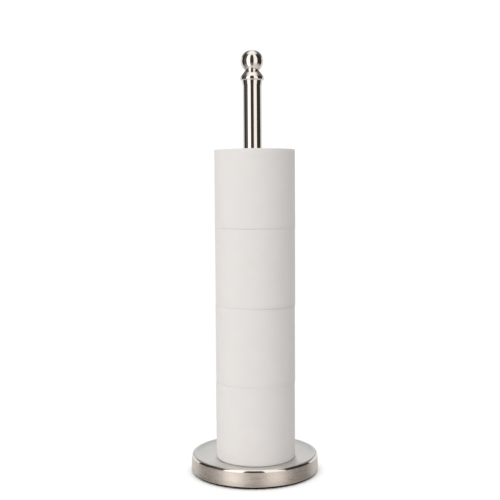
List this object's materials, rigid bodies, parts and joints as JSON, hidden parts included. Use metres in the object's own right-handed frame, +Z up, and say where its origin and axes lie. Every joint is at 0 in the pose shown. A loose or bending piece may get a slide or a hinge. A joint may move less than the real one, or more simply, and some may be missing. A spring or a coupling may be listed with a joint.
{
  "type": "toilet roll reserve stand",
  "caption": "Free-standing metal stand for spare tissue rolls: a weighted round base with a raised bead, a slim polished post, a ball finial, and white rolls stacked on the post.",
  "frame": {"origin": "on the floor, at the centre of the round base, on the post's axis", "axes": "+Z up along the post; +X and +Y level, with the rolls' slack on the post taken up mostly towards -Y, the front"},
  "size_m": [0.1642, 0.1642, 0.5402],
  "materials": {
    "brushed_nickel": "brushed round the side, satin on top",
    "polished_nickel": "polished",
    "cast_iron": "rough cast",
    "black_paint": "matt black powder coat",
    "rubber_foam": "matt",
    "zinc": "zinc plated",
    "tissue": "soft matt",
    "core_board": "matt"
  },
  "bodies": {
    "stand": {"base_cover": "brushed_nickel", "base_weight": "cast_iron", "bottom_plate": "black_paint", "plate_screws": "zinc", "foot_ring": "rubber_foam", "post_bolt": "zinc", "spring_washer": "zinc", "flat_washer": "zinc", "foot_plug": "zinc", "lower_tube": "polished_nickel", "lower_joint_plug": "zinc", "joint_stud": "zinc", "upper_joint_plug": "zinc", "upper_tube": "polished_nickel", "top_plug": "zinc", "finial_stud": "zinc", "finial_cap": "polished_nickel", "finial_ball": "polished_nickel"},
    "roll_1": {"roll_core_1": "core_board", "roll_paper_1": "tissue"},
    "roll_2": {"roll_core_2": "core_board", "roll_paper_2": "tissue"},
    "roll_3": {"roll_core_3": "core_board", "roll_paper_3": "tissue"},
    "roll_4": {"roll_core_4": "core_board", "roll_paper_4": "tissue"}
  },
  "joints": [
    {"name": "roll_1_lift", "type": "slide", "parent": "stand", "child": "roll_1", "axis": [0, 0, 1], "range_m": [0, 0.525]},
    {"name": "roll_2_lift", "type": "slide", "parent": "roll_1", "child": "roll_2", "axis": [0, 0, 1], "range_m": [0, 0.426]},
    {"name": "roll_3_lift", "type": "slide", "parent": "roll_2", "child": "roll_3", "axis": [0, 0, 1], "range_m": [0, 0.327]},
    {"name": "roll_4_lift", "type": "slide", "parent": "roll_3", "child": "roll_4", "axis": [0, 0, 1], "range_m": [0, 0.228]}
  ]
}
